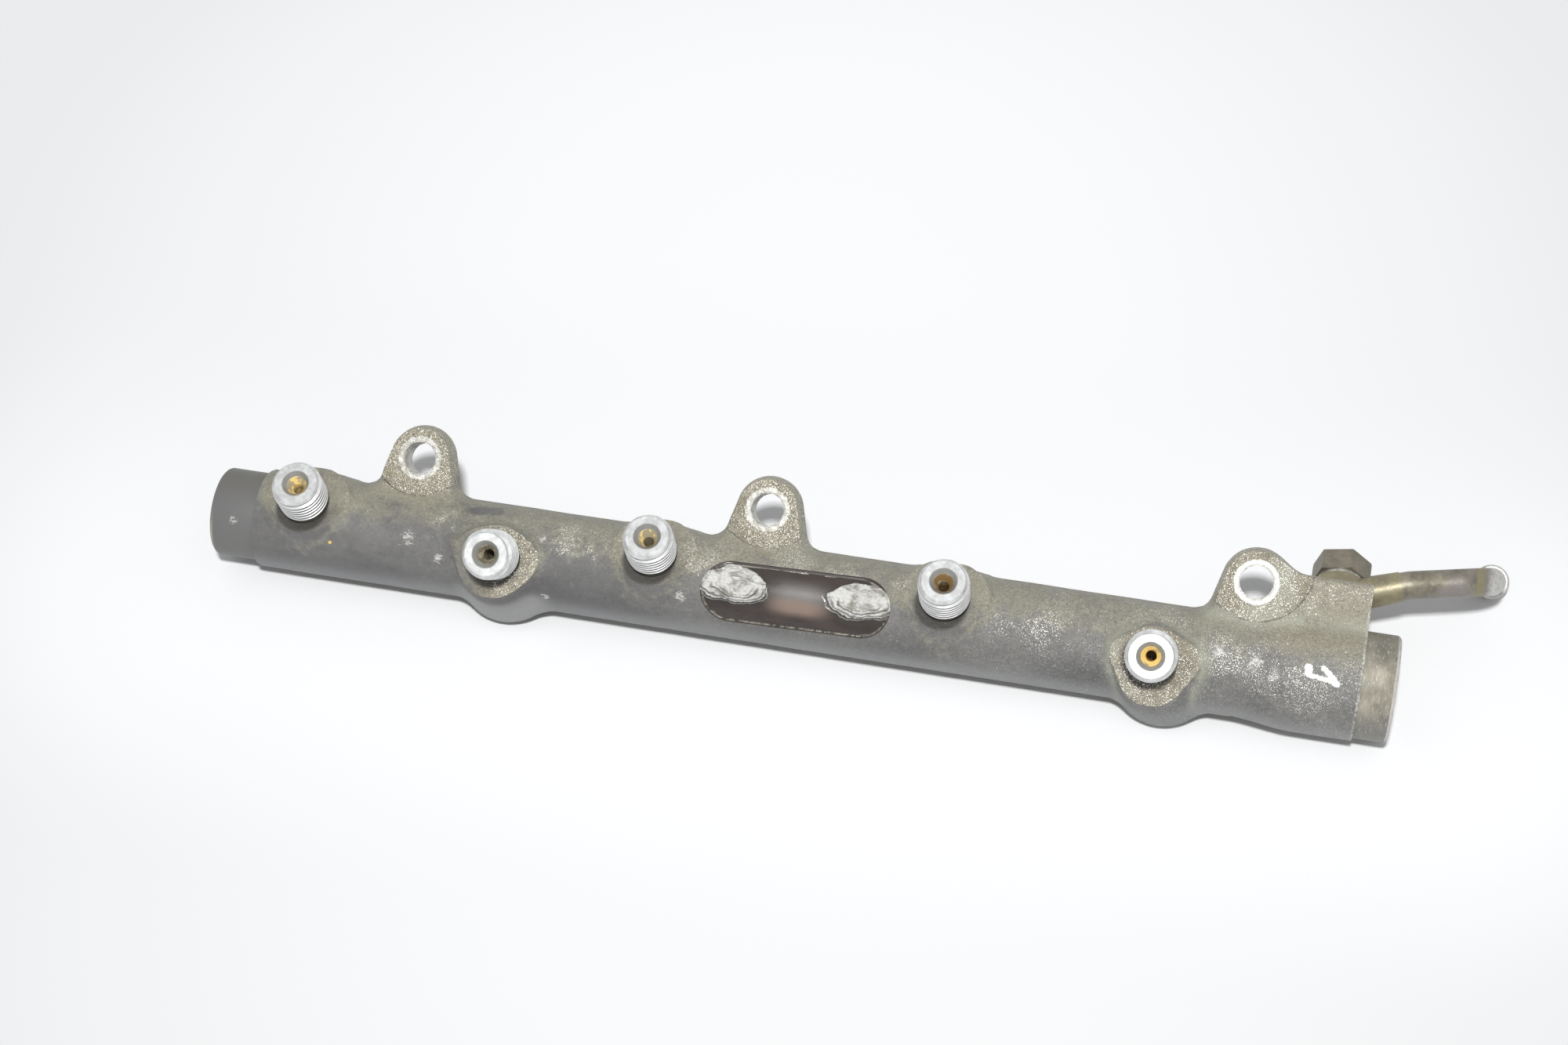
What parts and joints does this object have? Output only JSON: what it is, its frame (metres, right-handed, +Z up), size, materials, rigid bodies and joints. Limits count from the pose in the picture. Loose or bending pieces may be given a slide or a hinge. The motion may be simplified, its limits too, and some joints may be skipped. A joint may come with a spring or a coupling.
{
  "type": "fuel rail",
  "caption": "Forged diesel fuel rail: a tube with threaded pipe nipples, fixing lugs on one side, open ports at both ends and a banjo fitting with a bent return pipe.",
  "frame": {"origin": "on the rail's axis, at its left end face, in the mouth of the sensor port", "axes": "+X along the rail towards the return fitting, +Z up as the rail lies, +Y level, towards the side of the fixing lugs"},
  "size_m": [0.3597, 0.0781, 0.0447],
  "materials": {
    "forged_steel": "forged and phosphated, dirty, machined bright on the nipples",
    "plated_steel": "aged yellow zinc",
    "plated_tube": "aged yellow zinc",
    "sealing_metal": "dull"
  },
  "bodies": {
    "root": {"rail_body": "forged_steel", "return_bolt": "plated_steel", "return_eye": "plated_steel", "return_pipe": "plated_tube", "inner_sealing_ring": "sealing_metal", "outer_sealing_ring": "sealing_metal"}
  },
  "joints": []
}
